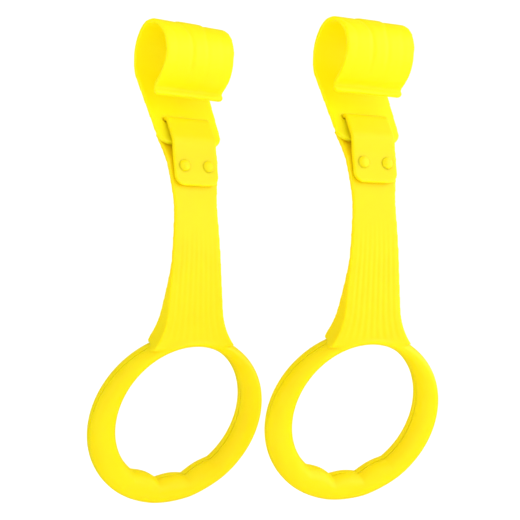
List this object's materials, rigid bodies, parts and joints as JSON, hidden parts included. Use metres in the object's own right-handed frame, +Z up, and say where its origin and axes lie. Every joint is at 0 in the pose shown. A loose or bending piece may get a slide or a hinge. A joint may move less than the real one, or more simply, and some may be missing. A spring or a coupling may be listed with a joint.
{
  "type": "infant pull-up rings",
  "caption": "Pair of soft plastic pull-up rings for a cot rail: spring clip over the rail, flat flared strap through its slot, round finger-grip ring below.",
  "frame": {"origin": "midway between the two clips' rail axes, which is the place that holds the pair up", "axes": "+X along the cot rail, from the left unit to the right one; +Y away from the viewer; +Z up, from the rings to the clips"},
  "size_m": [0.181, 0.0863, 0.2572],
  "materials": {
    "clip_plastic": "glossy, slightly translucent yellow moulding",
    "handle_plastic": "glossy, soft yellow moulding with fine ribs on the strap"
  },
  "bodies": {
    "left_clip": {"left_hook_frame": "clip_plastic"},
    "left_curl": {"left_hook_curl": "clip_plastic"},
    "left_handle": {"left_handle_front": "handle_plastic", "left_ring_rear_shell": "handle_plastic", "left_snap_stud_a": "handle_plastic", "left_snap_stud_b": "handle_plastic"},
    "left_tongue": {"left_strap_tongue": "handle_plastic"},
    "right_clip": {"right_hook_frame": "clip_plastic"},
    "right_curl": {"right_hook_curl": "clip_plastic"},
    "right_handle": {"right_handle_front": "handle_plastic", "right_ring_rear_shell": "handle_plastic", "right_snap_stud_a": "handle_plastic", "right_snap_stud_b": "handle_plastic"},
    "right_tongue": {"right_strap_tongue": "handle_plastic"}
  },
  "joints": [
    {"name": "right_unit_slide", "type": "slide", "parent": "left_clip", "child": "right_clip", "axis": [1, 0, 0], "range_m": [0, 0.15]},
    {"name": "left_strap_swing", "type": "hinge", "parent": "left_clip", "child": "left_handle", "pos_m": [-0.04033, 0.01488, -0.04182], "axis": [-0.9956, -0.0941, 0], "range_deg": [-3, 3]},
    {"name": "left_tongue_open", "type": "hinge", "parent": "left_handle", "child": "left_tongue", "pos_m": [-0.04027, 0.01427, -0.03464], "axis": [-0.9956, -0.0941, 0], "range_deg": [0, 100]},
    {"name": "left_curl_flex", "type": "hinge", "parent": "left_clip", "child": "left_curl", "pos_m": [-0.04269, 0.03985, -0.00367], "axis": [-0.9956, -0.0941, 0], "range_deg": [0, 15], "stiffness_Nm_per_rad": 1},
    {"name": "right_strap_swing", "type": "hinge", "parent": "right_clip", "child": "right_handle", "pos_m": [0.04033, -0.02912, -0.03762], "axis": [-0.9956, 0.0941, 0], "range_deg": [-3, 3]},
    {"name": "right_tongue_open", "type": "hinge", "parent": "right_handle", "child": "right_tongue", "pos_m": [0.04027, -0.02973, -0.03044], "axis": [-0.9956, 0.0941, 0], "range_deg": [0, 100]},
    {"name": "right_curl_flex", "type": "hinge", "parent": "right_clip", "child": "right_curl", "pos_m": [0.04269, -0.00415, 0.00053], "axis": [-0.9956, 0.0941, 0], "range_deg": [0, 15], "stiffness_Nm_per_rad": 1}
  ]
}
